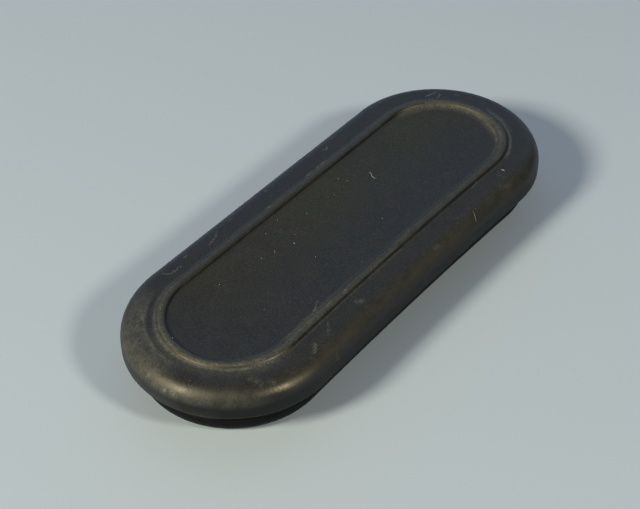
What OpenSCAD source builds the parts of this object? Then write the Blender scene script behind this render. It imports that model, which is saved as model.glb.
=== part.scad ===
// Blind oblong grommet, moulded in one piece of black rubber.
// It closes an oblong hole in a sheet: the flange covers the hole, the sheet
// sits in the slot, and the lip below snaps through.
// The origin is on the ground under the middle, +X runs along the length, +Z is up.

/* [Flange] */
// Length over the flange
flange_length = 100; // [80:1:150]
// Width over the flange
flange_width = 38.8; // [36:0.2:48]
// Thickness of the flange
flange_thickness = 5.5; // [5:0.1:8]
// Radius of the flange's upper edge
edge_radius = 3.3; // [1.5:0.1:3.6]
// Radius of the flange's lower edge
under_edge_radius = 0.6; // [0.2:0.1:1]

/* [Bead] */
// Distance from the flange's outer edge to the middle of the bead
bead_inset = 7.2; // [6:0.1:9]
// Radius of the bead's round back
bead_radius = 0.86; // [0.7:0.02:1.2]
// Height of the bead above the top face
bead_height = 0.55; // [0.3:0.05:0.65]
// Radius of the fillet at the foot of the bead
bead_fillet = 0.2; // [0.1:0.05:0.4]

/* [Slot] */
// Height of the slot that grips the sheet
slot_height = 2.4; // [1.4:0.1:4]
// How far the flange reaches past the neck
slot_depth = 3.9; // [2.8:0.1:5]
// Radius of the two inner corners of the slot
slot_fillet = 0.5; // [0.2:0.1:0.6]

/* [Lip] */
// How far the lip reaches past the neck
lip_reach = 1.7; // [1:0.1:2.4]
// Height of the lip
lip_height = 3.9; // [3.8:0.1:6]
// Radius of the lip's rounded lead-in
lip_round = 3.1; // [1.5:0.1:3.2]
// Radius of the lip's upper edge
lip_tip_radius = 0.6; // [0.2:0.1:0.6]

/* [Underside] */
// Thickness of the panel over the hollow
panel_thickness = 2.5; // [1.5:0.1:4]
// Thickness of the neck's wall
neck_wall = 3; // [2.5:0.1:4]
// Radius where the hollow's wall meets its ceiling
hollow_round = 2; // [0.5:0.1:3]
// Radius of the hollow's mouth
mouth_radius = 0.4; // [0.2:0.1:0.5]

/* [Hidden] */
$fn = 96;
flange_r = flange_width / 2;
half_run = flange_length / 2 - flange_r;
neck_r = flange_r - slot_depth;
lip_r = neck_r + lip_reach;
hollow_r = neck_r - neck_wall;
bead_r = flange_r - bead_inset;
flange_z = lip_height + slot_height;
top_z = flange_z + flange_thickness;
ceiling_z = top_z - panel_thickness;

// Half of a flat bar from the middle out to a radius, with its two outer corners rounded
module bar(reach, low_z, high_z, low_round, high_round) {
    translate([0, low_z + low_round])
        square([reach, high_z - low_z - low_round - high_round]);
    translate([0, low_z])
        square([reach - low_round, low_round]);
    translate([0, high_z - high_round])
        square([reach - high_round, high_round]);
    translate([reach - low_round, low_z + low_round])
        circle(r = low_round);
    translate([reach - high_round, high_z - high_round])
        circle(r = high_round);
}

module flange_section() {
    bar(flange_r, flange_z, top_z, under_edge_radius, edge_radius);
}

// The round bead, with a fillet on each side that blends it into the top face
module bead_section() {
    centre_z = top_z + bead_height - bead_radius;
    foot = sqrt(pow(bead_radius + bead_fillet, 2) - pow(top_z + bead_fillet - centre_z, 2));
    root_z = centre_z - bead_fillet;
    translate([bead_r, centre_z])
        circle(r = bead_radius);
    difference() {
        polygon([
            [bead_r - foot, root_z],
            [bead_r - foot, top_z + bead_fillet],
            [bead_r, centre_z],
            [bead_r + foot, top_z + bead_fillet],
            [bead_r + foot, root_z]
        ]);
        for (side = [-1, 1])
            translate([bead_r + side * foot, top_z + bead_fillet])
                circle(r = bead_fillet);
    }
}

// The neck fills the slot's height and flares into the flange and the lip
module neck_section() {
    difference() {
        translate([0, lip_height])
            square([neck_r + slot_fillet, slot_height]);
        translate([neck_r, lip_height + slot_fillet])
            square([slot_fillet, slot_height - 2 * slot_fillet]);
        for (z = [lip_height + slot_fillet, flange_z - slot_fillet])
            translate([neck_r + slot_fillet, z])
                circle(r = slot_fillet);
    }
}

module lip_section() {
    bar(lip_r, 0, lip_height, lip_round, lip_tip_radius);
}

// The hollow is open at the bottom, with a small radius round its mouth
module hollow_section() {
    bar(hollow_r, -2 * hollow_round, ceiling_z, hollow_round, hollow_round);
    difference() {
        translate([hollow_r, 0])
            square(mouth_radius);
        translate([hollow_r + mouth_radius, mouth_radius])
            circle(r = mouth_radius);
    }
}

module half_section() {
    difference() {
        union() {
            flange_section();
            bead_section();
            neck_section();
            lip_section();
        }
        hollow_section();
    }
}

// The section turned half round at each end and drawn straight between them
module grommet() {
    color([0.17, 0.18, 0.19]) {
        for (side = [-1, 1])
            translate([side * half_run, 0, 0])
                rotate([0, 0, -90 * side])
                    rotate_extrude(angle = 180)
                        half_section();
        for (side = [0, 1])
            mirror([0, side, 0])
                rotate([90, 0, 90])
                    linear_extrude(height = 2 * half_run, center = true)
                        half_section();
    }
}

grommet();
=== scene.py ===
import math
from collections import namedtuple

import bmesh
import bpy
import numpy as np
from mathutils import Matrix, Vector, noise


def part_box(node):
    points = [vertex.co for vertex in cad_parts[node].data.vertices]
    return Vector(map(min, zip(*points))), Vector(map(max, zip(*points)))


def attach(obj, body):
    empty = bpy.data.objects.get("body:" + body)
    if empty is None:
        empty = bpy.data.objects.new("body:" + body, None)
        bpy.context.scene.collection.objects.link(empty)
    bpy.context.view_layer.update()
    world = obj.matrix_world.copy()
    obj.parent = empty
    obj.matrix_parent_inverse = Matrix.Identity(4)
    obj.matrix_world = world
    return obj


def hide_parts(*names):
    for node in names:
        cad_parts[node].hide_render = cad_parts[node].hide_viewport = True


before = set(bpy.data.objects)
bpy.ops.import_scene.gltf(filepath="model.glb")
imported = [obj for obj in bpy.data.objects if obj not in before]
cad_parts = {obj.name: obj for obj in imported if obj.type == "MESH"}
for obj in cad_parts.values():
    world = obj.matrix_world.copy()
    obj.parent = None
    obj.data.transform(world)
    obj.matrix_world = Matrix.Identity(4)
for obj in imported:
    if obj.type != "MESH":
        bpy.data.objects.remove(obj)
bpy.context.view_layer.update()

MM = 0.001
LOW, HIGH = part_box("grommet")

# Sizes of the part, in millimetres. The overall ones come from the frame.
LENGTH = (HIGH.x - LOW.x) / MM
WIDTH = (HIGH.y - LOW.y) / MM
SOLID_BEAD_HEIGHT = 0.55
TOP = HIGH.z / MM - SOLID_BEAD_HEIGHT
FLANGE_R = WIDTH / 2
HALF_RUN = LENGTH / 2 - FLANGE_R
FLANGE_THICKNESS = 5.5
EDGE_RADIUS = 3.3
UNDER_EDGE_RADIUS = 0.6
BEAD_R = FLANGE_R - 7.4
BEAD_HEIGHT = 0.52
NECK_R = FLANGE_R - 3.9
SLOT_FILLET = 0.5
LIP_R = NECK_R + 1.7
LIP_HEIGHT = 3.9
LIP_ROUND = 3.1
LIP_TIP_RADIUS = 0.6
HOLLOW_R = NECK_R - 3.0
HOLLOW_ROUND = 2.0
MOUTH_RADIUS = 0.4
CEILING = TOP - 2.5
UNDER_FLANGE = TOP - FLANGE_THICKNESS

# Each side of the bead: where its flat top ends, its corner radius and the fillet at its foot
Side = namedtuple("Side", "edge corner fillet")
CRISP_INNER = Side(BEAD_R - 0.30, 0.50, 0.22)
SOFT_INNER = Side(BEAD_R - 0.15, 0.66, 0.52)
CRISP_OUTER = Side(BEAD_R + 0.55, 0.50, 0.35)
SOFT_OUTER = Side(BEAD_R + 0.30, 0.78, 0.85)

# Where the sides change, by x and by how far they lie to the near side, in millimetres. The inner side
# turns soft towards the far end and the near straight, the outer one crisp along the near straight.
INNER_SOFTENS_X = (28, 34)
INNER_SOFTENS_NEAR = (-2, 6)
OUTER_CRISPENS_X = (-34, -28)
OUTER_CRISPENS_NEAR = (4, 9)

# What the moulded rubber does that a drawing doesn't: millimetres, and one slope in degrees
PANEL_DISH = 0.4
FLANGE_SLOPE = 2.5
NEAR_SIDE_BOW = 0.4
BEAD_STRETCH = 0.25
STRETCH_FADES = (BEAD_R + 2, BEAD_R + 6)
WAVE_HEIGHT = 0.025
WAVE_LENGTH = 7.0
WAVE_REACH = FLANGE_R - 1

# Steps of the mesh round each end, along each straight and across each part of the section
END_STEPS = 130
RUN_STEPS = 130
PANEL_STEPS = 22
FILLET_STEPS = 6
CORNER_STEPS = 8
FLANGE_STEPS = 9
EDGE_STEPS = 16
SMALL_STEPS = 5
HIDDEN_STEPS = 8

# Gaps in millimetres below which points are one, in the section and in the mesh, or an edge is nothing
SAME_IN_SECTION = 1e-6
SAME_IN_MESH = 0.001
NO_LENGTH = 0.0001

# Camera, in degrees and millimetres
VIEW_AZIMUTH = -51.61
VIEW_ELEVATION = 41.31
VIEW_ROLL = -0.66
VIEW_DISTANCE = 272.4
VIEW_TARGET = (-9.70, -2.35, 11.79)
FOCAL_LENGTH = 86.68
SENSOR_WIDTH = 36.0
CLIP_START = 10

# Colours, linear
RUBBER_DARK = (0.0056, 0.0066, 0.0096, 1)
RUBBER_PALE = (0.0080, 0.0089, 0.0120, 1)
# Olive below: partly a film on the rubber, partly a painted reflection and painted highlight of the warm
# lamps
OLIVE_FILM_AND_SHEEN = (0.0105, 0.0118, 0.0062, 1)
# Pale colour for dust, wear and scuffs, also used for painted highlights and a painted glint
PALE_DUST_AND_HIGHLIGHT = (0.205, 0.232, 0.245, 1)
LINT_COLOUR = (0.400, 0.440, 0.500, 1)
DULL_LINT_COLOUR = (0.190, 0.205, 0.175, 1)
LINT_SHADE = 0.6
FLOOR_COLOUR = (0.375, 0.480, 0.690, 1)
WORLD_COLOUR = (0.45, 0.62, 1.0, 1)
LAMP_COLOUR = (1.0, 0.85, 0.52)
HIGH_WINDOW_COLOUR = (1.0, 0.91, 0.72)
LOW_WINDOW_COLOUR = (0.38, 0.63, 1.0)

# Lamps that face the part: degrees, metres and watts. One without a height is a disc.
Lamp = namedtuple("Lamp", "name azimuth elevation distance size height power colour")
LAMPS = (
    Lamp("lamp_left", 163, 34, 1.0, 0.22, None, 12.0, LAMP_COLOUR),
    Lamp("lamp_right", 270, 38, 1.0, 0.16, None, 5.6, LAMP_COLOUR),
    Lamp("window_high", 38, 58, 1.5, 2.4, 1.0, 2.7, HIGH_WINDOW_COLOUR),
    Lamp("window_low", 38, 20, 1.5, 2.6, 1.0, 4.4, LOW_WINDOW_COLOUR),
)
WORLD_STRENGTH = 0.1
FLOOR_HALF = 3.0
FLOOR_ROUGHNESS = 0.85
FLOOR_SHINE = 0.2

# How the amounts of dust, wear, painted highlights and the like are placed:
# A turn is an angle round one end in degrees. It grows from the near straight round the near end and
# from the far straight round the far end, and is 0 on the other half of the part.
# A place is how far outward from the middle of the bead a point is, in millimetres.
# A depth is a height from the top, and a rise one from the flange's lower face, in millimetres.
# A facing is how far a point's outward direction points to one side, from 0 to 1.
# Two numbers are where an amount starts and where it is full. Three are a start, an end and a fade.
NEAR = "near"
FAR = "far"
Band = namedtuple("Band", "end turn place amount")

# Pale bands: dust on the near end, dust and a painted highlight inside the far bead, dust outside the
# bead and in creases on the far end
DUST_AND_HIGHLIGHT_BANDS = (
    Band(NEAR, (100, 150, 22), (2.9, 6.4, 0.45), 0.12),
    Band(NEAR, (108, 150, 14), (2.8, 3.1, 0.3), 0.035),
    Band(NEAR, (95, 172, 25), (-0.1, 1.4, 0.5), 0.06),
    # Partly dust, partly a painted highlight at the bead's inner foot on the far end
    Band(FAR, (20, 125, 22), (-1.8, -1.0, 0.6), 0.12),
    Band(FAR, (0, 35, 15), (0.7, 1.2, 0.5), 0.05),
    Band(FAR, (45, 100, 15), (0.5, 1.1, 0.5), -0.04),
    Band(FAR, (105, 160, 12), (1.45, 1.65, 0.25), 0.20),
    Band(FAR, (100, 128, 8), (2.15, 2.25, 0.22), 0.12),
)

# Dust that lies all round, on the bead and at its outer foot: each ring's place and how much
DUST_RINGS = (
    ((-0.1, 0.3, 0.4), 0.03),
    ((0.5, 1.1, 0.5), 0.04),
)

# A pale band at the bead's outer foot at the near end, partly drifted dust and partly a painted
# highlight: it ends this far before and past the foot
FOOT_DUST_AND_HIGHLIGHT = 0.10
FOOT_BAND_TURN = (25, 110, 25)
FOOT_BAND_STARTS = (0.0, 0.6)
FOOT_BAND_ENDS = (-0.3, 2.2)

# Wear on the bead: three places outside at the near end, and the whole of the far end inside
BEAD_WEAR_BANDS = (
    Band(NEAR, (30, 75, 18), (0.4, 1.2, 0.4), 0.05),
    Band(NEAR, (112, 140, 15), (0.4, 1.2, 0.4), 0.03),
    Band(NEAR, (108, 165, 12), (0.8, 1.05, 0.15), 0.08),
    Band(FAR, (25, 165, 22), (-1.2, 0.0, 0.4), 0.06),
    Band(FAR, (50, 140, 15), (-1.2, 0.0, 0.4), 0.08),
)

# Wear on the bead's inner side along the near straight: a little everywhere, more at the left, where
# it starts and ends this far left of the middle, and some on the near end
INSIDE_FACING = (0.5, 0.9)
INSIDE_PLACE = (-1.1, 0.2, 0.3)
STRAIGHT_WEAR = 0.035
LEFT_WEAR = 0.100
LEFT_WEAR_STARTS = (10, 26)
LEFT_WEAR_ENDS = (29, HALF_RUN)
END_WEAR = 0.05
BEAD_DEPTH = -0.2

# On the flange's rounded edge: wear with a painted highlight at the tip of the near end, a painted
# highlight at its shoulder, and a little wear all round
TIP_WEAR_AND_HIGHLIGHT = 0.15
TIP_TURN = (80, 125, 35)
SHOULDER_HIGHLIGHT = 0.07
SHOULDER_TURN = (36, 50, 8)
END_EDGE_PLACE = (5.2, 6.6)
EDGE_WEAR = 0.015
EDGE_PLACE = (4.6, 5.8)
EDGE_DEPTH = (-3.6, -2.0)
FLANGE_PLACE = 3

# A painted glint on the flange's lower edge at the near end, which fades upward
LOWER_EDGE_GLINT = 0.16
LOWER_GLINT_TURN = (62, 118, 8)
LOWER_GLINT_PLACE = (6.8, 7.2)
LOWER_GLINT_RISE = (0.2, 0.8)

# Olive colour: partly an olive film and partly a painted reflection of the warm light on the far half of
# the panel, and a painted highlight on the bead and on the near side's rounded edge
PANEL_FILM_AND_SHEEN = 1.2
PANEL_OLIVE_Y = (-5, 7)
PANEL_OLIVE_STARTS_X = (-38, -22)
PANEL_OLIVE_THINS_X = (20, 42)
PANEL_OLIVE_LOST = 0.4
PANEL_OLIVE_ENDS = (-1.4, -0.8)
# The bead's olive is a painted highlight of the lamps
BEAD_SHEEN = 0.6
BEAD_SHEEN_PLACE = (-0.6, 0.4, 0.4)
# The olive on the near side's rounded edge is a painted highlight of the lamps
SIDE_SHEEN = 0.5
SIDE_SHEEN_FACING = (0.3, 0.8)
SIDE_SHEEN_PLACE = (5.4, 6.2, 1.2)
TOP_OLIVE_DEPTH = -1
SIDE_SHEEN_RISE = 2

# Polished places: the near end's rounded edge, the bead there, and the bead's walls on the straights
POLISHED_EDGE_TURN = (24, 42, 14)
POLISHED_TIP = 0.8
POLISHED_TIP_TURN = (78, 90, 8)
POLISHED_EDGE_PLACE = (5.0, 6.2)
POLISHED_EDGE_RISE = (0, 2)
POLISHED_BEAD_TURN = (18, 36, 10)
POLISHED_BEAD_PLACE = (0.4, 1.1, 0.3)
WALL_FACING = (0.9, 1.0)
NEAR_WALL_PLACE = (0.7, 1.3, 0.3)
FAR_WALL_PLACE = (-1.1, -0.4, 0.3)

# Duller places: the sides, less so where the near end is rubbed, and everything below the flange
SIDE_DULLNESS = 0.6
SIDE_DEPTH = (-3.4, -1.6)
RUBBED_SHINE = 0.4
RUBBED_TURN = (86, 120, 12)
LOWER_DULLNESS = 0.30
LOWER_RISE = (-0.6, 0)

# Noise: lumps to a millimetre, detail, and the values it is mapped from and to
Cloud = namedtuple("Cloud", "per_mm detail start end low high", defaults=(0.0, 1.0, 0.0, 1.0))
MOTTLE = Cloud(0.35, 4.0)
GRAIN = Cloud(2.6, 3.0)
PATCHES = Cloud(0.75, 4.0, 0.38, 0.62, 0.75, 1.12)
VEIL = Cloud(0.30, 5.0, 0.45, 0.75, 0.0, 0.010)
POWDER = Cloud(2.9, 4.0, 0.44, 0.66, 0.0, 0.046)
BREAKS = Cloud(2.4, 4.0, 0.40, 0.62, 0.3, 2.2)
OLIVE_PATCHES = Cloud(0.06, 3.0, 0.35, 0.60, 0.4, 1.0)
LINT_TONES = Cloud(3.0, 2.0)
LINT_ROUGHNESS = Cloud(6.0, 1.0, 0.3, 0.7, 0.7, 0.9)

# Finish of the rubber: what its mottles are mapped from and to, and what dust with the painted
# highlights, polish and dullness do
MOTTLE_TONES = (0.35, 0.65)
MOTTLE_ROUGHENS = (0.3, 0.7)
ROUGHNESS = (0.43, 0.53)
PALE_ROUGHENS = 0.6
POLISH_SMOOTHS = 0.10
SHINE = 0.5
DULLNESS_LOSES = 0.5

# Where dust, painted highlights and scuffs show: the grain that breaks up dust and painted highlights,
# mapped from and to, and two pairs of cosines, for a surface that lies flat enough for dust and one that
# faces up enough for scuffs
PATCH_GRAIN = (0.35, 0.65, 0.65, 1.35)
LIES_FLAT = (0.72, 0.97)
FACES_UP = (0.05, 0.3)
SCUFF_RISE = (0.0, 1.0)

# Unevenness of the surface: shares of the grain and of the mottles, and its depth in millimetres
BUMP_GRAIN = 1.1
BUMP_MOTTLE = 1.2
BUMP_DEPTH = 0.022

# Specks of dust: cells to a millimetre, radius in cells, the share without one, and how much dust
SPECKS_PER_MM = 0.9
SPECK_RADIUS = (0.05, 0.12)
CELLS_WITHOUT = 0.84
SPECK_AMOUNT = 0.13

# How far out a scuff fades, in half widths, and the noise that shakes its line, in millimetres
SCUFF_BLUR = 1.65
SHAKE_PER_MM = 2.2
SHAKE_DETAIL = 4.0
SHAKE = (1.1, 1.1, 0.0)

# Scuffs seen from above: x and y of the start and of the end, half the width, all in millimetres, and
# how much of the dust colour shows
SCUFFS = (
    (-22.5, -10.8, -19.5, -9.4, 0.14, 0.15),
    (-15.6, -14.7, -14.5, -15.6, 0.40, 0.09),
    (-15.4, -15.6, -14.4, -15.0, 0.22, 0.08),
    (-24.7, -15.8, -22.6, -14.1, 0.20, 0.09),
    (4.4, -17.0, 5.6, -17.4, 0.30, 0.08),
    (-40.5, -11.9, -40.2, -13.8, 0.60, 0.070),
    (-39.0, -14.7, -38.6, -15.3, 0.45, 0.070),
    (-27.9, -15.5, -29.3, -16.5, 0.32, 0.16),
    (-40.4, 12.1, -41.0, 11.0, 0.22, 0.050),
    (-41.0, 11.7, -41.8, 11.5, 0.22, 0.050),
    (-42.3, 11.6, -42.4, 10.8, 0.24, 0.060),
    (-42.9, 10.9, -43.1, 10.0, 0.26, 0.060),
    (-42.4, 9.9, -42.6, 9.5, 0.26, 0.055),
    (-44.3, 7.9, -43.9, 7.0, 0.22, 0.035),
    (-49.1, 2.8, -49.1, 2.5, 0.26, 0.16),
    (-49.6, -1.3, -49.5, -1.5, 0.26, 0.20),
    (-49.4, -2.5, -49.3, -3.2, 0.26, 0.16),
    (-26.2, -18.9, -26.5, -19.1, 0.24, 0.08),
    (12.3, -14.6, 13.2, -15.9, 0.16, 0.050),
    (13.2, -15.9, 15.2, -16.4, 0.16, 0.050),
    (28.4, -14.6, 28.7, -16.2, 0.35, 0.035),
    (26.1, -17.1, 28.1, -18.0, 0.40, 0.040),
    (-30.3, 16.5, -29.5, 15.2, 0.20, 0.14),
    (-29.5, 15.2, -27.0, 15.2, 0.20, 0.14),
    (-24.8, 16.2, -24.1, 16.4, 0.22, 0.14),
    (-19.5, 15.0, -17.6, 15.4, 0.20, 0.14),
    (-17.6, 15.4, -16.0, 16.3, 0.18, 0.12),
    (-12.3, 16.5, -11.6, 16.7, 0.22, 0.10),
    (-1.8, 16.7, -1.1, 16.9, 0.24, 0.12),
    (14.6, 16.2, 15.2, 15.5, 0.16, 0.16),
    (15.2, 15.5, 16.1, 16.0, 0.16, 0.14),
    (6.0, 13.2, 7.6, 13.4, 0.22, 0.12),
    (9.6, 13.3, 12.0, 13.4, 0.22, 0.10),
    (26.4, 13.0, 27.6, 13.1, 0.22, 0.10),
    (-5.4, 13.1, -4.6, 13.2, 0.22, 0.16),
    (8.6, 12.8, 9.4, 12.8, 0.22, 0.14),
    (-15.4, -12.1, -14.6, -11.9, 0.22, 0.12),
    (4.5, -11.1, 5.5, -10.9, 0.22, 0.10),
    (41.0, 10.3, 43.4, 9.6, 0.18, 0.15),
    (41.8, 8.2, 43.2, 8.5, 0.18, 0.12),
    (40.0, 9.1, 41.0, 7.8, 0.35, 0.09),
    (36.5, 12.1, 38.9, 10.6, 0.30, 0.050),
    (38.9, 10.6, 40.8, 8.6, 0.26, 0.065),
    (45.0, 6.0, 45.3, 5.4, 0.22, 0.10),
    (45.8, 0.1, 46.2, -0.1, 0.24, 0.10),
    (16.8, -16.0, 17.1, -16.1, 0.20, 0.12),
    (-6.9, -9.6, -6.6, -9.4, 0.20, 0.10),
    (33.6, 16.6, 36.4, 17.0, 0.18, 0.10),
    (18.6, 16.9, 19.4, 16.8, 0.22, 0.08),
    (22.4, -13.3, 24.0, -12.9, 0.16, 0.08),
)

# Grains of dust on the top: place and half size in millimetres
GRAINS = (
    (-9.8, 3.4, 0.17), (-13.8, 4.6, 0.10), (-16.5, 5.5, 0.11), (-26.3, 6.8, 0.10), (-2.0, 6.7, 0.10),
    (10.1, 6.6, 0.10), (9.5, 8.3, 0.09), (5.3, 6.0, 0.09), (-6.8, 9.7, 0.09), (-26.4, -3.3, 0.09),
    (-10.3, -1.8, 0.09), (18.7, -5.1, 0.09), (5.3, -5.0, 0.09), (-37.6, 10.2, 0.09), (-41.6, 3.9, 0.10),
    (-5.2, 13.0, 0.12), (-11.0, 9.0, 0.08), (-7.9, 4.9, 0.07), (-13.5, 4.9, 0.08),
)

# A grain's length, width and height as shares of its size, and the turn from grain to grain in radians
GRAIN_SHAPE = (1.0, 0.75, 0.45)
GRAIN_TURN = 1.3

# Fibres on the top: pale or dull, both ends, how far and how often each waves, and its radius, in
# millimetres
Fibre = namedtuple("Fibre", "name pale start end wiggle waves radius")
FIBRES = (
    Fibre("lint_panel", True, (14.7, 5.0), (13.8, 2.8), 0.14, 2.4, 0.045),
    Fibre("lint_flange", False, (16.8, -17.0), (15.8, -18.6), 0.10, 1.5, 0.050),
    Fibre("lint_white", True, (30.1, -14.6), (30.2, -15.3), 0.05, 1.0, 0.080),
)

# Points along a fibre and round it, and its thickness at the tips and its lift as shares of its radius
FIBRE_POINTS = 25
FIBRE_SIDES = 6
FIBRE_TIP = 0.3
FIBRE_LIFT = 0.7


def rise(value, start, end):
    """0 below the start and 1 above the end, with a smooth step between."""
    t = np.clip((value - start) / (end - start), 0, 1)
    return t * t * (3 - 2 * t)


def band(value, start, end, fade):
    """1 between the start and the end, falling to 0 over the fade outside them."""
    return rise(value, start - fade, start) * (1 - rise(value, end, end + fade))


def arc(centre_r, centre_z, radius, start, end, steps):
    """Points on an arc in the section, from the start angle to the end angle in degrees."""
    angles = np.radians(np.linspace(start, end, steps + 1))
    return [(centre_r + radius * math.cos(a), centre_z + radius * math.sin(a)) for a in angles]


def flank_run(side):
    """Distance from the edge of the bead's flat to where its fillet meets the face."""
    reach = side.corner + side.fillet
    return math.sqrt(BEAD_HEIGHT * (2 * reach - BEAD_HEIGHT))


def flank_lean(side):
    """Angle above the level at which the bead's corner arc meets its fillet."""
    reach = side.corner + side.fillet
    return math.degrees(math.asin((reach - BEAD_HEIGHT) / reach))


def panel_curve(inner):
    """The closed panel, dished a little between the beads, from the middle to the bead's foot."""
    edge = inner.edge - flank_run(inner)
    reaches = np.linspace(0, edge, PANEL_STEPS + 1)
    return [(r, TOP - PANEL_DISH * (1 - (r / edge) ** 2)) for r in reaches]


def bead_curve(inner, outer):
    """The raised bead: inner fillet, rounded corner, narrow flat, rounded corner, outer fillet."""
    crest = TOP + BEAD_HEIGHT
    foot_in = inner.edge - flank_run(inner)
    foot_out = outer.edge + flank_run(outer)
    lean_in = flank_lean(inner)
    lean_out = flank_lean(outer)
    points = arc(foot_in, TOP + inner.fillet, inner.fillet, -90, -lean_in, FILLET_STEPS)
    points += arc(inner.edge, crest - inner.corner, inner.corner, 180 - lean_in, 90, CORNER_STEPS)
    points += arc(outer.edge, crest - outer.corner, outer.corner, 90, lean_out, CORNER_STEPS)
    points += arc(foot_out, TOP + outer.fillet, outer.fillet, 180 + lean_out, 270, FILLET_STEPS)
    return points


def flange_curve(outer):
    """The flange's slightly sloping top, its rounded edge, its side and its lower edge."""
    start = outer.edge + flank_run(outer)
    slope = math.radians(FLANGE_SLOPE)
    shoulder = FLANGE_R - EDGE_RADIUS * (1 - math.sin(slope))
    drop = (shoulder - start) * math.tan(slope)
    reaches = np.linspace(start, shoulder, FLANGE_STEPS + 1)[1:]
    points = [(r, TOP - (r - start) * math.tan(slope)) for r in reaches]
    centre_z = TOP - drop - EDGE_RADIUS * math.cos(slope)
    points += arc(FLANGE_R - EDGE_RADIUS, centre_z, EDGE_RADIUS, 90 - FLANGE_SLOPE, 0, EDGE_STEPS)[1:]
    under_z = UNDER_FLANGE + UNDER_EDGE_RADIUS
    points += arc(FLANGE_R - UNDER_EDGE_RADIUS, under_z, UNDER_EDGE_RADIUS, 0, -90, SMALL_STEPS)
    return points


def slot_curve():
    """The slot for the sheet, from under the flange in to the neck and out over the lip."""
    outer = FLANGE_R - UNDER_EDGE_RADIUS
    inner = NECK_R + SLOT_FILLET
    points = [(r, UNDER_FLANGE) for r in np.linspace(outer, inner, SMALL_STEPS)[1:-1]]
    points += arc(inner, UNDER_FLANGE - SLOT_FILLET, SLOT_FILLET, 90, 180, SMALL_STEPS)
    points += arc(inner, LIP_HEIGHT + SLOT_FILLET, SLOT_FILLET, 180, 270, SMALL_STEPS)
    return points


def lip_curve():
    """The lip below the slot, with a small tip and one large round to the mouth."""
    tip_r = LIP_R - LIP_TIP_RADIUS
    points = arc(tip_r, LIP_HEIGHT - LIP_TIP_RADIUS, LIP_TIP_RADIUS, 90, 0, SMALL_STEPS)
    points += arc(LIP_R - LIP_ROUND, LIP_ROUND, LIP_ROUND, 0, -90, 2 * HIDDEN_STEPS)
    return points


def hollow_curve():
    """The mouth, the wall and the ceiling of the hollow, in to the middle."""
    inner = HOLLOW_R - HOLLOW_ROUND
    wall_top = CEILING - HOLLOW_ROUND
    points = arc(HOLLOW_R + MOUTH_RADIUS, MOUTH_RADIUS, MOUTH_RADIUS, 270, 180, SMALL_STEPS)
    points += [(HOLLOW_R, z) for z in np.linspace(MOUTH_RADIUS, wall_top, SMALL_STEPS)[1:-1]]
    points += arc(inner, wall_top, HOLLOW_ROUND, 0, 90, HIDDEN_STEPS)
    points += [(r, CEILING) for r in np.linspace(inner, 0, HIDDEN_STEPS + 1)[1:]]
    return points


def section(inner, outer):
    """The whole section as distance from the middle line and height, with no point twice."""
    points = panel_curve(inner) + bead_curve(inner, outer) + flange_curve(outer)
    points += slot_curve() + lip_curve() + hollow_curve()
    kept = [points[0]]
    for point in points[1:]:
        if math.dist(point, kept[-1]) > SAME_IN_SECTION:
            kept.append(point)
    return np.array(kept)


def stations():
    """Points on the middle line with their outward direction, once round the part."""
    ring = []
    for side in (1, -1):
        for i in range(END_STEPS + 1):
            a = math.pi * (0.5 - i / END_STEPS)
            ring.append((side * HALF_RUN, side * math.cos(a), side * math.sin(a)))
        for i in range(1, RUN_STEPS):
            ring.append((side * HALF_RUN * (1 - 2 * i / RUN_STEPS), 0.0, -side))
    return ring


def softness(x0, out_x, out_y):
    """How soft the bead's inner side and its outer side are at a station, each from 0 to 1."""
    x = x0 + BEAD_R * out_x
    nearness = -BEAD_R * out_y
    inner = max(rise(x, *INNER_SOFTENS_X), rise(nearness, *INNER_SOFTENS_NEAR))
    outer = 1 - rise(nearness, *OUTER_CRISPENS_NEAR) * rise(x, *OUTER_CRISPENS_X)
    return float(inner), float(outer)


def mould(x, y, z, reach):
    """Moves a point of the drawing to where the real, slightly bent rubber has it, in metres."""
    if y < 0:
        middle = max(0.0, 1 - (x / HALF_RUN) ** 2)
        y += NEAR_SIDE_BOW * middle * min(1.0, -y / BEAD_R)
    if z > UNDER_FLANGE and reach < WAVE_REACH:
        along = max(-1.0, min(1.0, x / HALF_RUN))
        x += BEAD_STRETCH * along * (1 - float(rise(reach, *STRETCH_FADES)))
        z += WAVE_HEIGHT * noise.noise(Vector((x, y, 0)) / WAVE_LENGTH)
    return x * MM, y * MM, z * MM


def height_rise(z, base, limits):
    """0 below the first of two heights above the base and 1 above the second."""
    return rise(z, base + limits[0], base + limits[1])


def end_angles(x0, out_x, out_y):
    """Angles round the near end and round the far end in degrees, 0 on the other half of the part."""
    near = np.where(x0 < 0, np.degrees(np.arctan2(-out_x, -out_y)), 0)
    far = np.where(x0 > 0, np.degrees(np.arctan2(out_x, out_y)), 0)
    return {NEAR: near, FAR: far}


def band_sum(bands, angles, outward):
    """What a list of bands adds up to at each point."""
    total = 0
    for item in bands:
        total = total + item.amount * band(angles[item.end], *item.turn) * band(outward, *item.place)
    return total


def dust_and_highlight_amount(x0, out_x, out_y, reach, z):
    """How much dust lies at each point of the top, with painted highlights in some bands."""
    angles = end_angles(x0, out_x, out_y)
    outward = reach - BEAD_R
    foot = SOFT_OUTER.edge + flank_run(SOFT_OUTER) - BEAD_R
    foot_band = FOOT_DUST_AND_HIGHLIGHT * band(angles[NEAR], *FOOT_BAND_TURN) * rise(outward, *FOOT_BAND_STARTS)
    foot_band = foot_band * (1 - rise(outward - foot, *FOOT_BAND_ENDS))
    total = foot_band + band_sum(DUST_AND_HIGHLIGHT_BANDS, angles, outward)
    for place, amount in DUST_RINGS:
        total = total + amount * band(outward, *place)
    return np.where(z > UNDER_FLANGE, total, 0)


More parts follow.
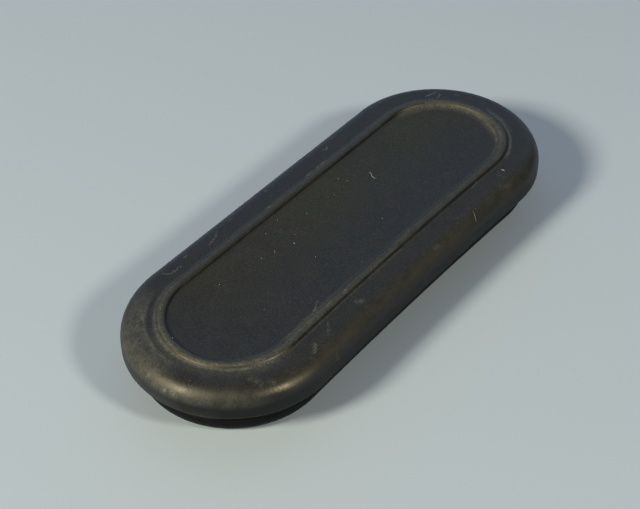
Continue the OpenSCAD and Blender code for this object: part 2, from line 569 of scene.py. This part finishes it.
def straight_wear(x0, out_y, outward):
    """Wear on the bead's inner side along the near straight."""
    at_end = rise(-x0, *LEFT_WEAR_ENDS)
    left = LEFT_WEAR * rise(-x0, *LEFT_WEAR_STARTS) * (1 - at_end)
    along = STRAIGHT_WEAR + left + END_WEAR * at_end
    return along * rise(-out_y, *INSIDE_FACING) * band(outward, *INSIDE_PLACE)


def edge_wear_and_highlight(near, outward, z):
    """Wear and painted highlights on the flange's rounded edge, and a painted glint on its lower edge.
    """
    round_end = TIP_WEAR_AND_HIGHLIGHT * band(near, *TIP_TURN) + SHOULDER_HIGHLIGHT * band(near, *SHOULDER_TURN)
    rounded = round_end * rise(outward, *END_EDGE_PLACE) + EDGE_WEAR * rise(outward, *EDGE_PLACE)
    lower = LOWER_EDGE_GLINT * band(near, *LOWER_GLINT_TURN) * rise(outward, *LOWER_GLINT_PLACE)
    fades_up = 1 - height_rise(z, UNDER_FLANGE, LOWER_GLINT_RISE)
    return rounded * height_rise(z, TOP, EDGE_DEPTH) + lower * fades_up


def wear_and_highlight_amount(x0, out_x, out_y, reach, z):
    """How rubbed each point is: the near end's rounded edge most, then every convex edge a little; on
    the flange's edges painted highlights and a painted glint are added.
    """
    angles = end_angles(x0, out_x, out_y)
    outward = reach - BEAD_R
    on_edge = (z > UNDER_FLANGE) & (outward > FLANGE_PLACE)
    on_bead = z > TOP + BEAD_DEPTH
    bead = straight_wear(x0, out_y, outward) + band_sum(BEAD_WEAR_BANDS, angles, outward)
    return np.where(on_edge, edge_wear_and_highlight(angles[NEAR], outward, z), 0) + np.where(on_bead, bead, 0)


def film_and_sheen_amount(x0, out_x, out_y, reach, z):
    """How much olive is painted at each point, partly film and partly painted reflection and highlight:
    the far half of the panel has most.
    """
    x = x0 + reach * out_x
    y = reach * out_y
    outward = reach - BEAD_R
    along = rise(x, *PANEL_OLIVE_STARTS_X) * (1 - PANEL_OLIVE_LOST * rise(x, *PANEL_OLIVE_THINS_X))
    panel = PANEL_FILM_AND_SHEEN * rise(y, *PANEL_OLIVE_Y) * along * (1 - rise(outward, *PANEL_OLIVE_ENDS))
    bead = BEAD_SHEEN * band(outward, *BEAD_SHEEN_PLACE)
    side = SIDE_SHEEN * rise(-out_y, *SIDE_SHEEN_FACING) * band(outward, *SIDE_SHEEN_PLACE)
    on_top = np.where(z > TOP + TOP_OLIVE_DEPTH, panel + bead, 0)
    return on_top + np.where(z > UNDER_FLANGE + SIDE_SHEEN_RISE, side, 0)


def polish_amount(x0, out_x, out_y, reach, z):
    """How much smoother than elsewhere each point is: the near end's rubbed spots, the bead's walls."""
    near = end_angles(x0, out_x, out_y)[NEAR]
    outward = reach - BEAD_R
    rubbed = band(near, *POLISHED_EDGE_TURN) + POLISHED_TIP * band(near, *POLISHED_TIP_TURN)
    above = height_rise(z, UNDER_FLANGE, POLISHED_EDGE_RISE)
    edge = rubbed * rise(outward, *POLISHED_EDGE_PLACE) * above
    spot = band(near, *POLISHED_BEAD_TURN) * band(outward, *POLISHED_BEAD_PLACE)
    near_wall = rise(-out_y, *WALL_FACING) * band(outward, *NEAR_WALL_PLACE)
    far_wall = rise(out_y, *WALL_FACING) * band(outward, *FAR_WALL_PLACE)
    return edge + spot + near_wall + far_wall


def dullness_amount(x0, out_x, out_y, reach, z):
    """How dull each point is: the sides shine less than the top, and everything below them least."""
    near = end_angles(x0, out_x, out_y)[NEAR]
    rubbed = RUBBED_SHINE * band(near, *RUBBED_TURN) * (z > UNDER_FLANGE)
    sides = (SIDE_DULLNESS - rubbed) * (1 - height_rise(z, TOP, SIDE_DEPTH))
    lower = LOWER_DULLNESS * (1 - height_rise(z, UNDER_FLANGE, LOWER_RISE))
    return sides + lower


# What the mesh tells the material at each of its points
AMOUNTS = {
    "dust_and_highlight": dust_and_highlight_amount,
    "wear_and_highlight": wear_and_highlight_amount,
    "film_and_sheen": film_and_sheen_amount,
    "polish": polish_amount,
    "dullness": dullness_amount,
}


def grommet_mesh():
    """Sweeps the section once round the oblong, and notes dust, wear, painted highlights and the like at
    each point.
    """
    base = section(CRISP_INNER, CRISP_OUTER)
    inner_change = section(SOFT_INNER, CRISP_OUTER) - base
    outer_change = section(CRISP_INNER, SOFT_OUTER) - base
    ring = stations()
    count = len(base)
    points = []
    places = []
    for x0, out_x, out_y in ring:
        inner, outer = softness(x0, out_x, out_y)
        for reach, z in base + inner * inner_change + outer * outer_change:
            points.append(mould(x0 + reach * out_x, reach * out_y, z, reach))
            places.append((x0, out_x, out_y, reach, z))
    faces = []
    for i in range(len(ring)):
        j = (i + 1) % len(ring)
        for k in range(count - 1):
            faces.append((i * count + k, i * count + k + 1, j * count + k + 1, j * count + k))
    mesh = bpy.data.meshes.new("grommet_rubber")
    mesh.from_pydata(points, [], faces)
    columns = np.array(places).T
    for name, amount in AMOUNTS.items():
        mesh.attributes.new(name, "FLOAT", "POINT").data.foreach_set("value", amount(*columns))
    mesh.update()
    return mesh


def weld(mesh):
    """Joins the points that meet on the middle line and makes the faces smooth."""
    work = bmesh.new()
    work.from_mesh(mesh)
    bmesh.ops.remove_doubles(work, verts=work.verts, dist=SAME_IN_MESH * MM)
    bmesh.ops.dissolve_degenerate(work, edges=work.edges, dist=NO_LENGTH * MM)
    bmesh.ops.recalc_face_normals(work, faces=work.faces)
    for face in work.faces:
        face.smooth = True
    work.to_mesh(mesh)
    work.free()


def new_node(tree, kind, inputs, **settings):
    """Adds a node, sets it up, and fills its inputs with numbers or with other nodes' outputs."""
    item = tree.nodes.new(kind)
    for name, value in settings.items():
        setattr(item, name, value)
    for key, value in inputs.items():
        if isinstance(value, bpy.types.NodeSocket):
            tree.links.new(value, item.inputs[key])
        else:
            item.inputs[key].default_value = value
    return item


def maths(tree, operation, a, b):
    return new_node(tree, "ShaderNodeMath", {0: a, 1: b}, operation=operation).outputs[0]


def product(tree, *values):
    """The values multiplied together."""
    total = values[0]
    for value in values[1:]:
        total = maths(tree, "MULTIPLY", total, value)
    return total


def vectors(tree, operation, a, b):
    return new_node(tree, "ShaderNodeVectorMath", {0: a, 1: b}, operation=operation).outputs[0]


def spread(tree, value, start, end, low=0.0, high=1.0):
    """Maps a value between the start and the end to between low and high, smoothly."""
    inputs = {"Value": value, "From Min": start, "From Max": end, "To Min": low, "To Max": high}
    return new_node(tree, "ShaderNodeMapRange", inputs, interpolation_type="SMOOTHSTEP").outputs[0]


def raw_cloud(tree, where, kind):
    """Soft noise from 0 to 1 with about as many lumps a millimetre as its kind says."""
    inputs = {"Vector": where, "Scale": kind.per_mm, "Detail": kind.detail}
    return new_node(tree, "ShaderNodeTexNoise", inputs).outputs["Fac"]


def cloud(tree, where, kind):
    """Soft noise mapped to the range of its kind."""
    return spread(tree, raw_cloud(tree, where, kind), kind.start, kind.end, kind.low, kind.high)


def blend_colours(tree, amount, first, second):
    inputs = {"Factor": amount, 6: first, 7: second}
    return new_node(tree, "ShaderNodeMix", inputs, data_type="RGBA").outputs[2]


def attribute(tree, name):
    return new_node(tree, "ShaderNodeAttribute", {}, attribute_name=name).outputs["Fac"]


def height_of(tree, vector):
    return new_node(tree, "ShaderNodeSeparateXYZ", {0: vector}).outputs["Z"]


def place_in_mm(tree):
    """The object's own coordinates, in millimetres."""
    metres = new_node(tree, "ShaderNodeTexCoord", {}).outputs["Object"]
    return vectors(tree, "MULTIPLY", metres, (1 / MM, 1 / MM, 1 / MM))


def upward(tree, start, end):
    """1 where the surface faces up, 0 where it is steep or faces down: the limits are cosines."""
    normal = new_node(tree, "ShaderNodeNewGeometry", {}).outputs["Normal"]
    return spread(tree, height_of(tree, normal), start, end)


def stroke(tree, where, start, end, half_width):
    """1 on the line from start to end seen from above, falling to 0 at the half width."""
    first = Vector((start[0], start[1], 0))
    along = Vector((end[0] - start[0], end[1] - start[1], 0))
    from_start = vectors(tree, "SUBTRACT", where, first)
    scaled = tuple(along / along.length_squared)
    dot = new_node(tree, "ShaderNodeVectorMath", {0: from_start, 1: scaled}, operation="DOT_PRODUCT")
    part = new_node(tree, "ShaderNodeClamp", {"Value": dot.outputs["Value"]}).outputs[0]
    reached = new_node(tree, "ShaderNodeVectorMath", {0: tuple(along), "Scale": part}, operation="SCALE")
    gap = vectors(tree, "SUBTRACT", from_start, reached.outputs[0])
    length = new_node(tree, "ShaderNodeVectorMath", {0: gap}, operation="LENGTH").outputs["Value"]
    return spread(tree, length, 0.0, half_width, 1.0, 0.0)


def scuff_mask(tree, where):
    """All the placed scuffs together, shaken so that their edges are ragged."""
    inputs = {"Vector": where, "Scale": SHAKE_PER_MM, "Detail": SHAKE_DETAIL}
    ragged = new_node(tree, "ShaderNodeTexNoise", inputs)
    shift = vectors(tree, "SUBTRACT", ragged.outputs["Color"], (0.5, 0.5, 0.5))
    from_above = vectors(tree, "MULTIPLY", where, (1, 1, 0))
    warped = vectors(tree, "ADD", from_above, vectors(tree, "MULTIPLY", shift, SHAKE))
    total = None
    for x0, y0, x1, y1, half_width, amount in SCUFFS:
        line = stroke(tree, warped, (x0, y0), (x1, y1), SCUFF_BLUR * half_width)
        mark = product(tree, line, amount)
        total = mark if total is None else maths(tree, "MAXIMUM", total, mark)
    return total


def speck_mask(tree, where):
    """Small pale specks scattered at random, a few to the square centimetre."""
    cells = new_node(tree, "ShaderNodeTexVoronoi", {"Vector": where, "Scale": SPECKS_PER_MM})
    chosen = new_node(tree, "ShaderNodeSeparateColor", {"Color": cells.outputs["Color"]})
    size = spread(tree, chosen.outputs["Green"], 0.0, 1.0, *SPECK_RADIUS)
    near = maths(tree, "LESS_THAN", cells.outputs["Distance"], size)
    picked = maths(tree, "GREATER_THAN", chosen.outputs["Red"], CELLS_WITHOUT)
    return product(tree, near, picked)


def marks(tree, where):
    """The scuffs, broken up, on what faces up of the flange, the bead and the panel."""
    low, high = SCUFF_RISE
    on_flange = spread(tree, height_of(tree, where), UNDER_FLANGE + low, UNDER_FLANGE + high)
    seen = product(tree, scuff_mask(tree, where), upward(tree, *FACES_UP), on_flange)
    return product(tree, seen, cloud(tree, where, BREAKS))


def dirt_and_highlights(tree, where, grain):
    """How much of the pale colour shows: settled dust, rubbed edges with painted highlights and a
    painted glint, a thin veil, specks and scuffs.
    """
    lies_flat = upward(tree, *LIES_FLAT)
    patchy = product(tree, cloud(tree, where, PATCHES), spread(tree, grain, *PATCH_GRAIN))
    flat_dust_and_highlight = product(tree, attribute(tree, "dust_and_highlight"), lies_flat)
    laid = product(tree, maths(tree, "ADD", flat_dust_and_highlight, attribute(tree, "wear_and_highlight")), patchy)
    specks = product(tree, speck_mask(tree, where), SPECK_AMOUNT)
    thin = maths(tree, "ADD", cloud(tree, where, VEIL), cloud(tree, where, POWDER))
    loose = product(tree, maths(tree, "ADD", thin, specks), lies_flat)
    return maths(tree, "ADD", maths(tree, "ADD", laid, loose), marks(tree, where))


def rubber_colour(tree, where, mottle, dirt_and_highlight_share):
    """Two near blacks in soft mottles, the olive film and painted sheen over them, and dust, wear and
    painted highlights on top.
    """
    colour = blend_colours(tree, spread(tree, mottle, *MOTTLE_TONES), RUBBER_DARK, RUBBER_PALE)
    film_and_sheen = product(tree, attribute(tree, "film_and_sheen"), cloud(tree, where, OLIVE_PATCHES))
    colour = blend_colours(tree, film_and_sheen, colour, OLIVE_FILM_AND_SHEEN)
    return blend_colours(tree, dirt_and_highlight_share, colour, PALE_DUST_AND_HIGHLIGHT)


def rubber_roughness(tree, mottle, dirt_and_highlight_share):
    """Uneven with the mottles, rougher under dust and painted highlights and smoother where the rubber
    is polished.
    """
    rough = spread(tree, mottle, *MOTTLE_ROUGHENS, *ROUGHNESS)
    rough = maths(tree, "ADD", rough, product(tree, dirt_and_highlight_share, PALE_ROUGHENS))
    return maths(tree, "SUBTRACT", rough, product(tree, attribute(tree, "polish"), POLISH_SMOOTHS))


def rubber_normal(tree, mottle, grain):
    """The moulded grain and a slower unevenness below it."""
    height = maths(tree, "ADD", product(tree, grain, BUMP_GRAIN), product(tree, mottle, BUMP_MOTTLE))
    inputs = {"Height": height, "Strength": 1.0, "Distance": BUMP_DEPTH * MM}
    return new_node(tree, "ShaderNodeBump", inputs).outputs[0]


def rubber():
    """Black moulded rubber: dark and mottled, olive in places from a film and painted sheen, dusty,
    scuffed, with painted highlights, and finely grained.
    """
    material = bpy.data.materials.new("black_rubber")
    material.use_nodes = True
    tree = material.node_tree
    shader = tree.nodes["Principled BSDF"]
    where = place_in_mm(tree)
    mottle = raw_cloud(tree, where, MOTTLE)
    grain = raw_cloud(tree, where, GRAIN)
    dirt_and_highlight_share = dirt_and_highlights(tree, where, grain)
    shine = maths(tree, "SUBTRACT", SHINE, product(tree, attribute(tree, "dullness"), DULLNESS_LOSES))
    tree.links.new(rubber_colour(tree, where, mottle, dirt_and_highlight_share), shader.inputs["Base Color"])
    tree.links.new(rubber_roughness(tree, mottle, dirt_and_highlight_share), shader.inputs["Roughness"])
    tree.links.new(shine, shader.inputs["Specular IOR Level"])
    tree.links.new(rubber_normal(tree, mottle, grain), shader.inputs["Normal"])
    return material


def lint_material(name, pale):
    """Dusty fibre of one colour, a little uneven."""
    material = bpy.data.materials.new(name)
    material.use_nodes = True
    tree = material.node_tree
    shader = tree.nodes["Principled BSDF"]
    where = place_in_mm(tree)
    shaded = tuple(LINT_SHADE * c for c in pale[:3]) + (1,)
    colour = blend_colours(tree, raw_cloud(tree, where, LINT_TONES), shaded, pale)
    tree.links.new(colour, shader.inputs["Base Color"])
    tree.links.new(cloud(tree, where, LINT_ROUGHNESS), shader.inputs["Roughness"])
    return material


def floor_material():
    material = bpy.data.materials.new("pale_floor")
    material.use_nodes = True
    shader = material.node_tree.nodes["Principled BSDF"]
    shader.inputs["Base Color"].default_value = FLOOR_COLOUR
    shader.inputs["Roughness"].default_value = FLOOR_ROUGHNESS
    shader.inputs["Specular IOR Level"].default_value = FLOOR_SHINE
    return material


def add_floor():
    mesh = bpy.data.meshes.new("floor")
    half = FLOOR_HALF
    corners = [(-half, -half, 0), (half, -half, 0), (half, half, 0), (-half, half, 0)]
    mesh.from_pydata(corners, [], [(0, 1, 2, 3)])
    floor = bpy.data.objects.new("floor", mesh)
    bpy.context.scene.collection.objects.link(floor)
    mesh.materials.append(floor_material())


def add_camera():
    """The camera at the photograph's viewing angle, lens and roll."""
    e = math.radians(VIEW_ELEVATION)
    a = math.radians(VIEW_AZIMUTH)
    back = Vector((math.sin(a) * math.cos(e), -math.cos(a) * math.cos(e), math.sin(e)))
    eye = (Vector(VIEW_TARGET) + back * VIEW_DISTANCE) * MM
    data = bpy.data.cameras.new("camera")
    data.sensor_width = SENSOR_WIDTH
    data.lens = FOCAL_LENGTH
    data.clip_start = CLIP_START * MM
    camera = bpy.data.objects.new("camera", data)
    bpy.context.scene.collection.objects.link(camera)
    level = (-back).to_track_quat("-Z", "Y").to_matrix().to_4x4()
    turned = Matrix.Rotation(math.radians(VIEW_ROLL), 4, "Z")
    camera.matrix_world = Matrix.Translation(eye) @ level @ turned
    bpy.context.scene.camera = camera


def add_lamp(lamp):
    """A soft lamp that faces the part: a disc, or a rectangle where it has a height."""
    data = bpy.data.lights.new(lamp.name, "AREA")
    data.shape = "RECTANGLE" if lamp.height else "DISK"
    data.size = lamp.size
    if lamp.height:
        data.size_y = lamp.height
    data.energy = lamp.power
    data.color = lamp.colour
    item = bpy.data.objects.new(lamp.name, data)
    bpy.context.scene.collection.objects.link(item)
    a = math.radians(lamp.azimuth)
    e = math.radians(lamp.elevation)
    direction = Vector((math.cos(a) * math.cos(e), math.sin(a) * math.cos(e), math.sin(e)))
    item.location = direction * lamp.distance
    item.rotation_euler = (-direction).to_track_quat("-Z", "Y").to_euler()


def add_world():
    world = bpy.data.worlds.new("studio")
    bpy.context.scene.world = world
    world.use_nodes = True
    background = world.node_tree.nodes["Background"]
    background.inputs["Color"].default_value = WORLD_COLOUR
    background.inputs["Strength"].default_value = WORLD_STRENGTH


def add_piece(name, mesh, material):
    """Puts a mesh in the scene as a piece of the part."""
    piece = bpy.data.objects.new(name, mesh)
    bpy.context.scene.collection.objects.link(piece)
    mesh.materials.append(material)
    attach(piece, "root")
    return piece


def add_grommet():
    mesh = grommet_mesh()
    weld(mesh)
    piece = add_piece("grommet_rubber", mesh, rubber())
    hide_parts("grommet")


def top_height(x, y):
    """Height of the top at a place on it."""
    reach = math.hypot(max(0.0, abs(x) - HALF_RUN), y)
    curve = panel_curve(SOFT_INNER) + bead_curve(SOFT_INNER, SOFT_OUTER) + flange_curve(SOFT_OUTER)
    reaches = [point[0] for point in curve]
    end = int(np.argmax(reaches))
    return float(np.interp(reach, reaches[:end], [point[1] for point in curve[:end]]))


def fibre_route(fibre):
    """Points from end to end of a fibre that wave from side to side and lie on the top."""
    a = Vector(fibre.start)
    b = Vector(fibre.end)
    side = Vector((-(b - a).y, (b - a).x)).normalized()
    route = []
    for t in np.linspace(0, 1, FIBRE_POINTS):
        place = a.lerp(b, t) + side * fibre.wiggle * math.sin(fibre.waves * math.pi * t)
        height = top_height(place.x, place.y) + FIBRE_LIFT * fibre.radius
        route.append((place.x, place.y, height))
    return route


def fibre_mesh(fibre):
    """A thin round thread along its route, tapered at both ends."""
    route = fibre_route(fibre)
    points = []
    faces = []
    last = len(route) - 1
    for i, place in enumerate(route):
        ahead = (Vector(route[min(i + 1, last)]) - Vector(route[max(i - 1, 0)])).normalized()
        side = ahead.cross(Vector((0, 0, 1))).normalized()
        over = side.cross(ahead)
        bulge = math.sin(math.pi * (i + 0.5) / (last + 1))
        thick = fibre.radius * (FIBRE_TIP + (1 - FIBRE_TIP) * bulge)
        for k in range(FIBRE_SIDES):
            turn = 2 * math.pi * k / FIBRE_SIDES
            rim = thick * (math.cos(turn) * side + math.sin(turn) * over)
            points.append((Vector(place) + rim) * MM)
    for i in range(last):
        low = i * FIBRE_SIDES
        high = low + FIBRE_SIDES
        for k in range(FIBRE_SIDES):
            n = (k + 1) % FIBRE_SIDES
            faces.append((low + k, low + n, high + n, high + k))
    faces.append(tuple(range(FIBRE_SIDES - 1, -1, -1)))
    faces.append(tuple(range(last * FIBRE_SIDES, (last + 1) * FIBRE_SIDES)))
    mesh = bpy.data.meshes.new(fibre.name)
    mesh.from_pydata(points, [], faces)
    mesh.update()
    return mesh


def grain_mesh():
    """Every placed grain of dust as a low lump of a few faces, half sunk in the top."""
    work = bmesh.new()
    for index, (x, y, half) in enumerate(GRAINS):
        place = Matrix.Translation(Vector((x, y, top_height(x, y))) * MM)
        shape = Matrix.Rotation(GRAIN_TURN * index, 4, "Z") @ Matrix.Diagonal(GRAIN_SHAPE).to_4x4()
        bmesh.ops.create_icosphere(work, subdivisions=1, radius=half * MM, matrix=place @ shape)
    mesh = bpy.data.meshes.new("dust_grains")
    work.to_mesh(mesh)
    work.free()
    return mesh


def add_lint_and_grains():
    """The fibres on the panel and the flange, one short white thread, and the grains of dust."""
    pale = lint_material("pale_lint", LINT_COLOUR)
    dull = lint_material("dull_lint", DULL_LINT_COLOUR)
    for fibre in FIBRES:
        add_piece(fibre.name, fibre_mesh(fibre), pale if fibre.pale else dull)
    add_piece("dust_grains", grain_mesh(), pale)


add_camera()
for lamp in LAMPS:
    add_lamp(lamp)
add_world()
add_floor()
add_grommet()
add_lint_and_grains()
bpy.context.scene.view_settings.view_transform = "Standard"
